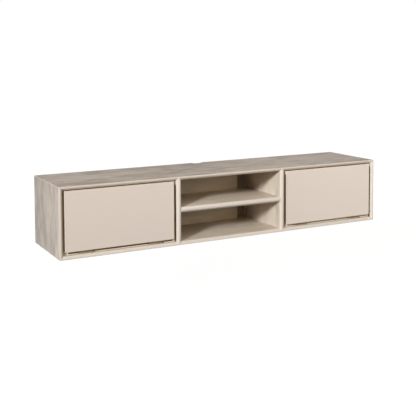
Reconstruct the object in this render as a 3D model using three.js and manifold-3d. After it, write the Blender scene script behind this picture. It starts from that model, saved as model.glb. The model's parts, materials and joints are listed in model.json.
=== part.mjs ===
// Floating media console: a wall-hung cabinet with two drop-down doors and an open centre bay.
// Millimetres, +Z up, +X to the right along the front, +Y into the wall.
// The origin is on the wall plane, at the middle of the hanging rail's web.
// Inside the console group, y = 0 is the wall plane and z = 0 the underside of the carcass.

import * as THREE from 'three';
import { mergeVertices } from 'three/addons/utils/BufferGeometryUtils.js';
import Module from 'manifold-3d';

// Driving dimensions

const cabinet = { width: 1800, depth: 395, height: 335 };

// Every board's visible front edge is a flat land with a 45 degree bevel on its inner side.
const board = { outer: 16, divider: 26, shelf: 26, bevel: 8.5 };

// gap is the clearance between pieces that seat on each other, overrun is how far a cutter sticks out.
const fit = { gap: 0.3, shelfEnd: 0.5, overrun: 2, curveSteps: 16 };

const door = { thickness: 19, recess: 4.5, sideGap: 10, topGap: 5, bottomGap: 16, arris: 2, arrisSteps: 3 };

const rear = { thickness: 5, setIn: 22, groove: 6 };

const bay = { lowerHeight: 142, backThickness: 12, duct: 31, slotWidth: 70, edgeRadius: 3 };

const cable = { notchWidth: 56, notchCorner: 8, holeWidth: 96, holeHeight: 28, holeBelowTop: 20 };

const shelfPin = { shankRadius: 2.5, pegRadius: 3.5, shank: 9, peg: 9, tip: 1, fromFront: 62, fromBack: 60 };

const rail = {
  sheet: 2, web: 26, offset: 6, lip: 16, belowTop: 85, endClearance: 44,
  slots: 6, slotLength: 18, slotHeight: 7, slotPitch: 290,
};

const hanger = {
  width: 16, length: 38, above: 20, below: 35, chamfer: 5, channel: 9, floor: 4,
  hookWidth: 8, hookRise: 8, shankDrop: 15, tongue: 3, tongueDrop: 12, windowMargin: 4,
};

const hinge = {
  knuckle: 12, knuckleGap: 0.5, knuckles: 5, barrelRadius: 5, pinRadius: 2.5, headRadius: 3.8, head: 1.6,
  leaf: 2, baseDepth: 38, flapMargin: 1, fromDoorEnd: 100,
};

const stopFrame = { thickness: 10, rail: 30, stile: 15, doorClearance: 0.7 };

// The stay's carcass pivot is measured from the front plane and the underside, its stud from the door.
const stay = {
  standOff: 26, pivotDepth: 240, pivotHeight: 160, studHeight: 60, studOffset: 20,
  barrelRadius: 9, boreRadius: 7.5, rodRadius: 4, pistonLength: 8, visibleRod: 46, cap: 5, closedEnd: 20, shoulder: 12,
  innerRoom: 10, eyeRadius: 7, eyeWidth: 6, studRadius: 4, studHead: 6, headHeight: 2,
};

const stayPlate = { length: 48, width: 26, thickness: 3 };

// The lug carries the stud beside the rod's eye, and the stud ends a little short of it.
const lug = { reach: 6, sheet: 3, footWidth: 24, footLength: 44, shortfall: 0.7 };

const latch = {
  width: 16, height: 18, length: 66, corner: 2, flangeWidth: 38, flangeLength: 30, flange: 2.5,
  axisBelowTop: 10.5, plungerRadius: 3.5, standProud: 7, engaged: 30, travel: 3, dome: 1.5,
};

const strike = { width: 24, height: 9, thickness: 1.5, corner: 1.5 };

// Places worked out from the driving dimensions

const front = -cabinet.depth;
const innerLow = board.outer;
const innerHigh = cabinet.height - board.outer;
const innerHeight = innerHigh - innerLow;
const sideFace = cabinet.width / 2 - board.outer;
const bayWidth = (cabinet.width - 2 * board.outer - 2 * board.divider) / 3;
const dividerCentre = bayWidth / 2 + board.divider / 2;
const dividerOuterFace = dividerCentre + board.divider / 2;

const rearBack = -rear.setIn;
const rearFront = rearBack - rear.thickness;
const bayBackRear = rearFront - bay.duct;
const bayBackFront = bayBackRear - bay.backThickness;

const doorWidth = bayWidth - 2 * door.sideGap;
const doorHeight = innerHeight - door.topGap - door.bottomGap;
const doorCentre = dividerOuterFace + bayWidth / 2;
const doorFront = front + door.recess;
const doorBack = doorFront + door.thickness;
const doorLow = innerLow + door.bottomGap;

// The hinge pin is centred in the bottom gap, so that the open door's edge is flush with its own front.
const pivotY = doorFront + door.bottomGap / 2;
const pivotZ = innerLow + door.bottomGap / 2;
const hingeLength = hinge.knuckles * hinge.knuckle + (hinge.knuckles - 1) * hinge.knuckleGap;

const railCentre = cabinet.height - rail.belowTop;
const lipTop = railCentre + rail.web / 2 + rail.offset + rail.lip;

const stayPivot = new THREE.Vector2(front + stay.pivotDepth, stay.pivotHeight);
const stayStud = new THREE.Vector2(doorBack + stay.studOffset, pivotZ + stay.studHeight);
const stayLength = stayPivot.distanceTo(stayStud);
const stayTurn = Math.atan2(stayStud.y - stayPivot.y, stayStud.x - stayPivot.x);
const stayBarrel = stayLength - stay.visibleRod;
const stayRod = stayLength - stay.closedEnd - stay.innerRoom;

// Materials

const finish = (color, roughness, metalness) => new THREE.MeshStandardMaterial({ color, roughness, metalness });

const finishes = {
  veneer: finish(0xded2c3, 0.6, 0),
  lacquer: finish(0xdcd0c1, 0.55, 0),
  panel: finish(0x8d857b, 0.75, 0),
  zinc: finish(0xb9bcbf, 0.35, 0.9),
  champagne: finish(0xc0ab94, 0.45, 0.35),
  blackPlastic: finish(0x24211f, 0.5, 0),
  greyPlastic: finish(0x9a9690, 0.5, 0),
};

// Solids

const wasm = await Module();
wasm.setup();

function solidOf(geometry) {
  const bare = geometry.clone();
  bare.deleteAttribute('normal');
  bare.deleteAttribute('uv');
  const merged = mergeVertices(bare);
  return new wasm.Manifold(new wasm.Mesh({
    numProp: 3,
    vertProperties: new Float32Array(merged.attributes.position.array),
    triVerts: new Uint32Array(merged.index.array),
  }));
}

function geometryOf(solid) {
  const { vertProperties, triVerts } = solid.getMesh();
  const geometry = new THREE.BufferGeometry();
  geometry.setAttribute('position', new THREE.BufferAttribute(new Float32Array(vertProperties), 3));
  geometry.setIndex(new THREE.BufferAttribute(new Uint32Array(triVerts), 1));
  geometry.computeVertexNormals();
  return geometry;
}

function join(...geometries) {
  return geometryOf(geometries.map(solidOf).reduce((whole, next) => whole.add(next)));
}

function cut(base, ...cutters) {
  return geometryOf(cutters.map(solidOf).reduce((rest, next) => rest.subtract(next), solidOf(base)));
}

function common(first, second) {
  return geometryOf(solidOf(first).intersect(solidOf(second)));
}

// A box between two corners given as [x, y, z].
function block(low, high) {
  const size = high.map((value, axis) => value - low[axis]);
  const middle = high.map((value, axis) => (value + low[axis]) / 2);
  return new THREE.BoxGeometry(...size).translate(...middle);
}

function outline(points) {
  return new THREE.Shape(points.map(([a, b]) => new THREE.Vector2(a, b)));
}

// A rectangle with round corners, centred on a point.
function roundedRectangle(width, height, radius, centre = [0, 0], Kind = THREE.Shape) {
  const [x, y] = centre;
  const right = x + width / 2 - radius;
  const top = y + height / 2 - radius;
  const left = x - width / 2 + radius;
  const low = y - height / 2 + radius;
  const path = new Kind();
  path.moveTo(right, low - radius);
  path.absarc(right, low, radius, -Math.PI / 2, 0);
  path.absarc(right, top, radius, 0, Math.PI / 2);
  path.absarc(left, top, radius, Math.PI / 2, Math.PI);
  path.absarc(left, low, radius, Math.PI, 1.5 * Math.PI);
  path.closePath();
  return path;
}

function disc(radius, centre = [0, 0], Kind = THREE.Shape) {
  const path = new Kind();
  path.absarc(centre[0], centre[1], radius, 0, 2 * Math.PI);
  return path;
}

function extrude(shape, depth, curveSegments = fit.curveSteps / 4) {
  return new THREE.ExtrudeGeometry(shape, { depth, bevelEnabled: false, curveSegments });
}

// An outline drawn in Y and Z, carried along X from one place to another.
function alongX(shape, from, to, curveSegments) {
  const start = Math.min(from, to);
  const turn = new THREE.Matrix4().makeBasis(axisY, axisZ, axisX);
  return extrude(shape, Math.abs(to - from), curveSegments).applyMatrix4(turn).translate(start, 0, 0);
}

// An outline drawn in X and Z, carried towards the front from one depth to another.
function alongY(shape, from, to, curveSegments) {
  const start = Math.max(from, to);
  const turn = new THREE.Matrix4().makeBasis(axisX, axisZ, axisY.clone().negate());
  return extrude(shape, Math.abs(to - from), curveSegments).applyMatrix4(turn).translate(0, start, 0);
}

// A bar or bore along X.
function barX(radius, from, to, y = 0, z = 0) {
  return alongX(disc(radius, [y, z]), from, to, fit.curveSteps);
}

// A turned piece: radius and height pairs, revolved about the local Y axis.
function turned(profile) {
  return new THREE.LatheGeometry(profile.map(([radius, height]) => new THREE.Vector2(radius, height)), fit.curveSteps);
}

const axisX = new THREE.Vector3(1, 0, 0);
const axisY = new THREE.Vector3(0, 1, 0);
const axisZ = new THREE.Vector3(0, 0, 1);

const cabinetGroup = new THREE.Group();
cabinetGroup.position.z = -railCentre;

function place(name, geometry, material, [x, y, z] = [0, 0, 0]) {
  const mesh = new THREE.Mesh(geometry, material);
  mesh.name = name;
  mesh.position.set(x, y, z);
  cabinetGroup.add(mesh);
  return mesh;
}

const sides = { left: -1, right: 1 };

// Outer boards, mitred at the four corners like a picture frame

// The section is drawn in depth and thickness, with the thickness counted from the outer face,
// and holds the front bevel and the groove for the rear panel. Each end is sheared by the thickness.
function mitredBoard(length) {
  const grooveFront = rearFront - fit.gap;
  const grooveBack = rearBack + fit.gap;
  const section = outline([
    [front, 0],
    [0, 0],
    [0, board.outer],
    [grooveBack, board.outer],
    [grooveBack, board.outer - rear.groove],
    [grooveFront, board.outer - rear.groove],
    [grooveFront, board.outer],
    [front + board.bevel, board.outer],
    [front, board.outer - board.bevel],
  ]);
  const geometry = extrude(section, length);
  const position = geometry.attributes.position;
  for (let i = 0; i < position.count; i += 1) {
    const inset = position.getY(i) + fit.gap / Math.SQRT2;
    const atStart = position.getZ(i) < length / 2;
    position.setZ(i, atStart ? inset : length - inset);
  }
  return geometry.translate(0, 0, -length / 2);
}

// The cable notch in the top's rear edge, open to the wall, with two round inner corners.
function notchCutter() {
  const reach = rear.setIn + fit.overrun + cable.notchCorner;
  const shape = roundedRectangle(reach, cable.notchWidth, cable.notchCorner, [reach / 2 - rear.setIn, 0]);
  return extrude(shape, board.outer + 2 * fit.overrun)
    .translate(0, 0, -board.outer - fit.overrun)
    .rotateX(Math.PI / 2);
}

function placeBoard(name, geometry, inward, [x, y, z]) {
  const along = new THREE.Vector3().crossVectors(axisY, inward);
  const mesh = place(name, geometry, finishes.veneer, [x, y, z]);
  mesh.setRotationFromMatrix(new THREE.Matrix4().makeBasis(axisY, inward, along));
}

const wide = mitredBoard(cabinet.width);
const tall = mitredBoard(cabinet.height);
placeBoard('top_panel', cut(wide, notchCutter()), axisZ.clone().negate(), [0, 0, cabinet.height]);
placeBoard('bottom_panel', wide, axisZ, [0, 0, 0]);
placeBoard('side_panel_left', tall, axisX, [-cabinet.width / 2, 0, cabinet.height / 2]);
placeBoard('side_panel_right', tall, axisX.clone().negate(), [cabinet.width / 2, 0, cabinet.height / 2]);

// Dividers: bevelled on both sides, with their front tips coped to the bevels of the top and bottom

const shelfLow = innerLow + bay.lowerHeight;
const pinY = [front + shelfPin.fromFront, bayBackFront - shelfPin.fromBack];
const pinZ = shelfLow - shelfPin.pegRadius - fit.gap;

function dividerGeometry(baySide) {
  const half = board.divider / 2;
  const back = rearFront - fit.gap;
  const plan = outline([
    [half - board.bevel, front],
    [half, front + board.bevel],
    [half, back],
    [-half, back],
    [-half, front + board.bevel],
    [board.bevel - half, front],
  ]);
  const low = innerLow + fit.gap;
  const high = innerHigh - fit.gap;
  const elevation = outline([
    [front, low - board.bevel],
    [front + board.bevel, low],
    [back, low],
    [back, high],
    [front + board.bevel, high],
    [front, high + board.bevel],
  ]);
  const body = common(extrude(plan, cabinet.height), alongX(elevation, -half - fit.overrun, half + fit.overrun));
  const bayFace = baySide * half;
  const holeEnd = baySide * (half - shelfPin.shank - fit.overrun);
  const holes = pinY.map((y) => {
    return barX(shelfPin.shankRadius + fit.gap, holeEnd, bayFace + baySide * fit.overrun, y, pinZ);
  });
  return cut(body, ...holes);
}

for (const [side, sign] of Object.entries(sides)) {
  place(`divider_${side}`, dividerGeometry(-sign), finishes.veneer, [sign * dividerCentre, 0, 0]);
}

// Centre bay: a fixed-height shelf on four pins, and a back panel that leaves a cable slot at its right

const shelfSection = outline([
  [front, board.bevel],
  [front + board.bevel, 0],
  [bayBackFront - fit.gap, 0],
  [bayBackFront - fit.gap, board.shelf],
  [front + board.bevel, board.shelf],
  [front, board.shelf - board.bevel],
]);
const shelfReach = bayWidth / 2 - fit.shelfEnd;
place('middle_shelf', alongX(shelfSection, -shelfReach, shelfReach), finishes.veneer, [0, 0, shelfLow]);

function shelfPinGeometry() {
  const { shank, peg, tip, shankRadius, pegRadius } = shelfPin;
  return turned([
    [0, -shank],
    [shankRadius - tip, -shank],
    [shankRadius, tip - shank],
    [shankRadius, fit.gap],
    [pegRadius, fit.gap],
    [pegRadius, peg - tip],
    [pegRadius - tip, peg],
    [0, peg],
  ]);
}

for (const [side, sign] of Object.entries(sides)) {
  for (const [row, y] of Object.entries({ front: pinY[0], back: pinY[1] })) {
    const pin = place(`shelf_pin_${side}_${row}`, shelfPinGeometry(), finishes.zinc, [sign * bayWidth / 2, y, pinZ]);
    pin.rotation.z = sign * Math.PI / 2;
  }
}

function bayBackGeometry() {
  const left = -bayWidth / 2 + fit.gap;
  const right = bayWidth / 2 - bay.slotWidth;
  const plan = new THREE.Shape();
  plan.moveTo(left, bayBackRear);
  plan.lineTo(left, bayBackFront);
  plan.lineTo(right - bay.edgeRadius, bayBackFront);
  plan.absarc(right - bay.edgeRadius, bayBackFront + bay.edgeRadius, bay.edgeRadius, -Math.PI / 2, 0);
  plan.lineTo(right, bayBackRear);
  plan.closePath();
  return extrude(plan, innerHeight - 2 * fit.gap);
}

place('bay_back_panel', bayBackGeometry(), finishes.veneer, [0, 0, innerLow + fit.gap]);

// Hanging gear: a steel rail on the wall, and four hangers that hook over its lip

const hangerPlaces = Object.entries(sides).flatMap(([side, sign]) => [
  { name: `${side}_outer`, x: sign * (sideFace - fit.gap - hanger.width / 2) },
  { name: `${side}_inner`, x: sign * (dividerOuterFace + fit.gap + hanger.width / 2) },
]);
const hookTop = lipTop + fit.gap + hanger.hookRise;
const hookLow = lipTop - hanger.shankDrop;
const hangerBack = rearFront - fit.gap;
const hangerFront = hangerBack - hanger.length;
const hookFront = hangerFront + hanger.floor + fit.gap;

function wallRailGeometry() {
  const { sheet, web, offset, lip } = rail;
  const low = railCentre - web / 2;
  const bend = railCentre + web / 2;
  const miter = sheet * Math.tan(Math.PI / 8);
  const section = outline([
    [0, low],
    [0, bend],
    [-offset, bend + offset],
    [-offset, lipTop],
    [-offset - sheet, lipTop],
    [-offset - sheet, bend + offset - miter],
    [-sheet, bend - miter],
    [-sheet, low],
  ]);
  const reach = sideFace - rail.endClearance;
  const slots = Array.from({ length: rail.slots }, (unused, i) => {
    const x = (i - (rail.slots - 1) / 2) * rail.slotPitch;
    const slot = roundedRectangle(rail.slotLength, rail.slotHeight, rail.slotHeight / 2, [x, railCentre]);
    return alongY(slot, fit.overrun, -sheet - fit.overrun);
  });
  return cut(alongX(section, -reach, reach), ...slots);
}

place('wall_rail', wallRailGeometry(), finishes.zinc);

function hangerBodyGeometry() {
  const low = lipTop - hanger.below;
  const high = lipTop + hanger.above;
  const side = outline([
    [hangerBack, low],
    [hangerBack, high],
    [hangerFront + hanger.chamfer, high],
    [hangerFront, high - hanger.chamfer],
    [hangerFront, low + hanger.chamfer],
    [hangerFront + hanger.chamfer, low],
  ]);
  const channel = block(
    [-hanger.channel / 2, hookFront - fit.gap, hookLow - fit.gap],
    [hanger.channel / 2, hangerBack + fit.overrun, hookTop + fit.gap],
  );
  return cut(alongX(side, -hanger.width / 2, hanger.width / 2), channel);
}

function hangerHookGeometry() {
  const lipFront = -rail.offset - rail.sheet - 2 * fit.gap;
  const tongueFront = 2 * fit.gap - rail.offset;
  const tongueBack = tongueFront + hanger.tongue;
  const tongueLow = lipTop - hanger.tongueDrop;
  const side = outline([
    [hookFront, hookLow],
    [lipFront, hookLow],
    [lipFront, lipTop + fit.gap],
    [tongueFront, lipTop + fit.gap],
    [tongueFront, tongueLow],
    [tongueBack - hanger.tongue / 2, tongueLow],
    [tongueBack, tongueLow + hanger.tongue],
    [tongueBack, hookTop],
    [hookFront, hookTop],
  ]);
  return alongX(side, -hanger.hookWidth / 2, hanger.hookWidth / 2);
}

for (const { name, x } of hangerPlaces) {
  place(`hanger_body_${name}`, hangerBodyGeometry(), finishes.zinc, [x, 0, 0]);
  place(`hanger_hook_${name}`, hangerHookGeometry(), finishes.zinc, [x, 0, 0]);
}

// Rear panel: held in the grooves of the outer boards, with windows for the hooks and a cable hole

function rearPanelGeometry() {
  const reach = rear.groove - fit.gap;
  const halfWidth = sideFace + reach;
  const shape = outline([
    [-halfWidth, innerLow - reach],
    [halfWidth, innerLow - reach],
    [halfWidth, innerHigh + reach],
    [-halfWidth, innerHigh + reach],
  ]);
  const margin = 2 * hanger.windowMargin;
  for (const { x } of hangerPlaces) {
    const centre = [x, (hookLow + hookTop) / 2];
    const width = hanger.hookWidth + margin;
    const height = hookTop - hookLow + margin;
    shape.holes.push(roundedRectangle(width, height, hanger.windowMargin, centre, THREE.Path));
  }
  const holeZ = innerHigh - cable.holeBelowTop;
  shape.holes.push(roundedRectangle(cable.holeWidth, cable.holeHeight, cable.holeHeight / 2, [0, holeZ], THREE.Path));
  return alongY(shape, rearBack, rearFront);
}

place('rear_panel', rearPanelGeometry(), finishes.panel);

// Doors: plain slabs with eased edges

function doorGeometry() {
  const shape = outline([
    [-doorWidth / 2, 0],
    [doorWidth / 2, 0],
    [doorWidth / 2, doorHeight],
    [-doorWidth / 2, doorHeight],
  ]);
  const slab = new THREE.ExtrudeGeometry(shape, {
    depth: door.thickness - 2 * door.arris,
    bevelSize: door.arris,
    bevelThickness: door.arris,
    bevelOffset: -door.arris,
    bevelSegments: door.arrisSteps,
  });
  slab.translate(0, 0, door.arris);
  slab.applyMatrix4(new THREE.Matrix4().makeBasis(axisX, axisZ, axisY.clone().negate()));
  return slab;
}

for (const [side, sign] of Object.entries(sides)) {
  place(`door_panel_${side}`, doorGeometry(), finishes.lacquer, [sign * doorCentre, doorBack, doorLow]);
}

// Flap hinges in the gap under each door: two leaves with interlocking knuckles on one pin.
// Each is drawn about the pin's centre line.

const knuckleStart = (i) => i * (hinge.knuckle + hinge.knuckleGap) - hingeLength / 2;
const hingeBore = () => barX(hinge.pinRadius + fit.gap, -hingeLength, hingeLength);

function knuckles(first, neckLow, neckHigh) {
  const pieces = [];
  for (let i = first; i < hinge.knuckles; i += 2) {
    const from = knuckleStart(i);
    const to = from + hinge.knuckle;
    pieces.push(barX(hinge.barrelRadius, from, to));
    pieces.push(block([from, ...neckLow], [to, ...neckHigh]));
  }
  return pieces;
}

function hingeBaseGeometry() {
  const low = fit.gap - door.bottomGap / 2;
  const plate = block([-hingeLength / 2, 0, low], [hingeLength / 2, hinge.baseDepth, low + hinge.leaf]);
  return cut(join(plate, ...knuckles(0, [0, low], [hinge.barrelRadius, 0])), hingeBore());
}

function hingeFlapGeometry() {
  const high = door.bottomGap / 2 - fit.gap;
  const plateFront = doorFront - pivotY + hinge.flapMargin;
  const plateBack = doorBack - pivotY - hinge.flapMargin;
  const plate = block([-hingeLength / 2, plateFront, high - hinge.leaf], [hingeLength / 2, plateBack, high]);
  return cut(join(plate, ...knuckles(1, [-hinge.barrelRadius, 0], [0, high])), hingeBore());
}

function hingePinGeometry() {
  const end = hingeLength / 2 + fit.gap;
  return turned([
    [0, -end - hinge.head],
    [hinge.headRadius, -end - hinge.head],
    [hinge.headRadius, -end],
    [hinge.pinRadius, -end],
    [hinge.pinRadius, end],
    [hinge.headRadius, end],
    [hinge.headRadius, end + hinge.head],
    [0, end + hinge.head],
  ]);
}

for (const [side, sign] of Object.entries(sides)) {
  for (const [end, endSign] of Object.entries({ inner: -1, outer: 1 })) {
    const at = [sign * (doorCentre + endSign * (doorWidth / 2 - hinge.fromDoorEnd)), pivotY, pivotZ];
    place(`hinge_base_${side}_${end}`, hingeBaseGeometry(), finishes.champagne, at);
    place(`hinge_flap_${side}_${end}`, hingeFlapGeometry(), finishes.champagne, at);
    const pin = place(`hinge_pin_${side}_${end}`, hingePinGeometry(), finishes.champagne, at);
    pin.rotation.z = -Math.PI / 2;
  }
}

// Stop frames: a rail and two stiles behind each door, which its back stops against and which
// close the gaps below and beside it. The rail is cut out over the leaves of the hinges.

function stopFrameGeometry() {
  const reach = bayWidth / 2 - fit.gap;
  const low = innerLow + fit.gap;
  const high = innerHigh - fit.gap;
  const frameFront = doorBack + stopFrame.doorClearance;
  const frameBack = frameFront + stopFrame.thickness;
  const shape = outline([
    [-reach, low],
    [reach, low],
    [reach, high],
    [reach - stopFrame.stile, high],
    [reach - stopFrame.stile, low + stopFrame.rail],
    [stopFrame.stile - reach, low + stopFrame.rail],
    [stopFrame.stile - reach, high],
    [-reach, high],
  ]);
  const notchHalf = hingeLength / 2 + fit.gap;
  const notches = Object.values(sides).map((sign) => {
    const x = sign * (doorWidth / 2 - hinge.fromDoorEnd);
    return block(
      [x - notchHalf, frameFront - fit.overrun, low - fit.overrun],
      [x + notchHalf, frameBack + fit.overrun, low + hinge.leaf + fit.gap],
    );
  });
  return cut(alongY(shape, frameBack, frameFront), ...notches);
}

for (const [side, sign] of Object.entries(sides)) {
  place(`stop_frame_${side}`, stopFrameGeometry(), finishes.veneer, [sign * doorCentre, 0, 0]);
}

// Flap stays: a barrel that swings on the side panel, and a rod with a piston that runs out of it.
// Both are drawn along local Y, with the eye's centre at the origin, and turned about X into line.

const stayPlane = sideFace - stay.standOff;

function eye(towards) {
  const { eyeRadius, eyeWidth, shoulder } = stay;
  const neck = block(
    [-eyeWidth / 2, Math.min(0, towards * shoulder), -eyeRadius],
    [eyeWidth / 2, Math.max(0, towards * shoulder), eyeRadius],
  );
  return join(barX(eyeRadius, -eyeWidth / 2, eyeWidth / 2), neck);
}

const eyeBore = () => barX(stay.studRadius + fit.gap, -stay.eyeWidth, stay.eyeWidth);

function stayBarrelGeometry() {
  const { barrelRadius, boreRadius, rodRadius, cap, closedEnd, shoulder } = stay;
  const tube = turned([
    [0, shoulder - fit.overrun],
    [barrelRadius, shoulder - fit.overrun],
    [barrelRadius, stayBarrel],
    [rodRadius + fit.gap, stayBarrel],
    [rodRadius + fit.gap, stayBarrel - cap],
    [boreRadius, stayBarrel - cap],
    [boreRadius, closedEnd],
    [0, closedEnd],
  ]);
  return cut(join(tube, eye(1)), eyeBore());
}

function stayRodGeometry() {
  const { rodRadius, boreRadius, pistonLength, shoulder } = stay;
  const rod = turned([
    [0, -stayRod],
    [boreRadius - fit.gap, -stayRod],
    [boreRadius - fit.gap, pistonLength - stayRod],
    [rodRadius, pistonLength - stayRod],
    [rodRadius, fit.overrun - shoulder],
    [0, fit.overrun - shoulder],
  ]);
  return cut(join(rod, eye(-1)), eyeBore());
}

// The bracket's stud carries the barrel's eye and is upset into a head behind it.
function stayBracketGeometry(sign) {
  const wall = sign * (sideFace - fit.gap);
  const plateFace = wall - sign * stayPlate.thickness;
  const eyeFace = sign * (stayPlane - stay.eyeWidth / 2 - fit.gap);
  const shape = roundedRectangle(stayPlate.length, stayPlate.width, stayPlate.width / 2);
  return join(
    alongX(shape, wall, plateFace),
    barX(stay.studRadius, wall, eyeFace - sign * stay.headHeight),
    barX(stay.studHead, eyeFace, eyeFace - sign * stay.headHeight),
    barX(stay.studHead, wall, sign * (stayPlane + stay.eyeWidth / 2 + fit.gap)),
  );
}

// The door bracket stands on the door's inner face: a foot, and a lug with a short stud.
function stayLugGeometry(sign) {
  const studEnd = sign * (stayPlane - stay.eyeWidth / 2 - lug.shortfall);
  const lugFace = studEnd - sign * lug.reach;
  const lugBack = lugFace - sign * lug.sheet;
  const footEnd = lugFace - sign * lug.footWidth;
  const foot = fit.gap - stay.studOffset;
  const side = outline([
    [foot, -lug.footLength / 2],
    [foot + lug.sheet, -lug.footLength / 2],
    [0, -stay.eyeRadius],
    [0, stay.eyeRadius],
    [foot + lug.sheet, lug.footLength / 2],
    [foot, lug.footLength / 2],
  ]);
  const half = lug.footLength / 2;
  return join(
    alongX(side, lugFace, lugBack),
    barX(stay.eyeRadius, lugFace, lugBack),
    barX(stay.studRadius, studEnd, lugBack),
    block(
      [Math.min(lugFace, footEnd), foot, -half],
      [Math.max(lugFace, footEnd), foot + lug.sheet, half],
    ),
  );
}

for (const [side, sign] of Object.entries(sides)) {
  const x = sign * stayPlane;
  const pivotPlace = [0, stayPivot.x, stayPivot.y];
  const studPlace = [0, stayStud.x, stayStud.y];
  place(`stay_bracket_${side}`, stayBracketGeometry(sign), finishes.zinc, pivotPlace);
  place(`stay_door_bracket_${side}`, stayLugGeometry(sign), finishes.zinc, studPlace);
  const barrel = place(`stay_cylinder_${side}`, stayBarrelGeometry(), finishes.greyPlastic, [x, pivotPlace[1], pivotPlace[2]]);
  const rod = place(`stay_rod_${side}`, stayRodGeometry(), finishes.zinc, [x, studPlace[1], studPlace[2]]);
  barrel.rotation.x = stayTurn;
  rod.rotation.x = stayTurn;
}

// Push latches: a housing under the top, a sprung plunger, and a strike plate on the door

const latchAxis = innerHigh - latch.axisBelowTop;
const strikeFace = doorBack + fit.gap + strike.thickness;
const plungerTip = strikeFace + fit.gap;
const latchFront = plungerTip + latch.standProud;

function latchHousingGeometry() {
  const high = innerHigh - fit.gap;
  const section = roundedRectangle(latch.width, latch.height, latch.corner, [0, high - latch.height / 2]);
  const middle = latchFront + latch.length / 2;
  const flange = block(
    [-latch.flangeWidth / 2, middle - latch.flangeLength / 2, high - latch.flange],
    [latch.flangeWidth / 2, middle + latch.flangeLength / 2, high],
  );
  const bore = alongY(
    disc(latch.plungerRadius + fit.gap, [0, latchAxis]),
    latchFront + latch.engaged + latch.travel + fit.overrun,
    latchFront - fit.overrun,
    fit.curveSteps,
  );
  return cut(join(alongY(section, latchFront + latch.length, latchFront), flange), bore);
}

function plungerGeometry() {
  const { plungerRadius, dome, standProud, engaged } = latch;
  return turned([
    [0, 0],
    [plungerRadius - dome, 0],
    [plungerRadius, dome],
    [plungerRadius, standProud + engaged],
    [0, standProud + engaged],
  ]);
}

for (const [side, sign] of Object.entries(sides)) {
  const x = sign * doorCentre;
  const plate = roundedRectangle(strike.width, strike.height, strike.corner, [0, latchAxis]);
  place(`latch_housing_${side}`, latchHousingGeometry(), finishes.blackPlastic, [x, 0, 0]);
  place(`latch_plunger_${side}`, plungerGeometry(), finishes.greyPlastic, [x, plungerTip, latchAxis]);
  place(`strike_plate_${side}`, alongY(plate, strikeFace, strikeFace - strike.thickness), finishes.zinc, [x, 0, 0]);
}

const mediaConsole = new THREE.Group();
mediaConsole.add(cabinetGroup);

export default mediaConsole;
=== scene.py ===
# %% [markdown]
# A wall-hung media console in greige wood, dressed in Blender.
#
# The imported model is loaded first and stays where it is: its solids, bodies and joints are the
# frame that every piece below is placed in. Lengths are metres, X runs along the console, Y from
# the front (negative) to the wall (zero), and Z is up. The box of the bare frame is kept and
# printed, and the dressed console's box is printed at the end.

# %% Load the frame
import json
import math

import bmesh
import bpy
import numpy as np
from mathutils import Matrix, Vector


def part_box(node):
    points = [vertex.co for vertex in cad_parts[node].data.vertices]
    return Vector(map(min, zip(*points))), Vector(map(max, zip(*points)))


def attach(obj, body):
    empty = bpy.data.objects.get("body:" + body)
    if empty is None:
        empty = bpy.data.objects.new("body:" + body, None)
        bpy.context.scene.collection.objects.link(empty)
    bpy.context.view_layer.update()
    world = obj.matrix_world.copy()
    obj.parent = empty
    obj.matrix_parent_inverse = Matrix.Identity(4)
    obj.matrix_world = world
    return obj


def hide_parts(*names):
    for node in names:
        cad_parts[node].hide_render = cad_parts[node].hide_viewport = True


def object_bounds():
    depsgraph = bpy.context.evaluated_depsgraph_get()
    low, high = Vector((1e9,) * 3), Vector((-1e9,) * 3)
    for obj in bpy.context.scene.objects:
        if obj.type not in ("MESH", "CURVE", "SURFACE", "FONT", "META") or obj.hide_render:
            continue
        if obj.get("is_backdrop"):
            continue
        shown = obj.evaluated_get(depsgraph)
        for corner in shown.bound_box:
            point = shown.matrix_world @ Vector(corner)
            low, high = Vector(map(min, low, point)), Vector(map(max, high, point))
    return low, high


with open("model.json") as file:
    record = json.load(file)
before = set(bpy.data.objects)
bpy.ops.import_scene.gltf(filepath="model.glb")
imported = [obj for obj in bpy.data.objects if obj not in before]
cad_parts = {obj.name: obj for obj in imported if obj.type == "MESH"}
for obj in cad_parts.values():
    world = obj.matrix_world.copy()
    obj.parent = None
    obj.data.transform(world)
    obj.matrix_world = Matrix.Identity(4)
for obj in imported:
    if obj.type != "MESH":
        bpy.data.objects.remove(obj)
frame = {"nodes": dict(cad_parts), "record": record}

frame_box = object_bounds()
MM = 0.001
X, Y, Z = range(3)


def in_mm(place):
    """The place's numbers in millimetres, to a tenth, for printing."""
    return [round(value / MM, 1) for value in place]


print("frame box", [in_mm(corner) for corner in frame_box])

# %% [markdown]
# The camera. The photograph was taken from the left of the console, a little above it, with a
# rather long lens and the picture's vertical lines kept upright. Turning the camera down instead
# would make those lines meet, so the aim stays almost level and the lens is shifted down, as an
# architectural photographer does.

# %% Camera
CAMERA_PLACE = Vector((-1.9787, -3.8378, 0.7054))
CAMERA_YAW = math.radians(28.116)
CAMERA_PITCH = math.radians(3.987)
CAMERA_ROLL = math.radians(-0.225)
CAMERA_LENS = 69.07
CAMERA_SENSOR = 36.0
CAMERA_SHIFT = -0.25


def camera_turn(yaw, pitch, roll):
    """Columns right, up and backward: yaw turns from +Y to +X, pitch looks down, roll tilts."""
    flat = Vector((math.sin(yaw), math.cos(yaw), 0))
    forward = flat * math.cos(pitch) - Vector((0, 0, math.sin(pitch)))
    right = Vector((math.cos(yaw), -math.sin(yaw), 0))
    up = right.cross(forward)
    tilted_right = right * math.cos(roll) + up * math.sin(roll)
    tilted_up = tilted_right.cross(forward)
    return Matrix((tilted_right, tilted_up, -forward)).transposed().to_4x4()


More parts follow.
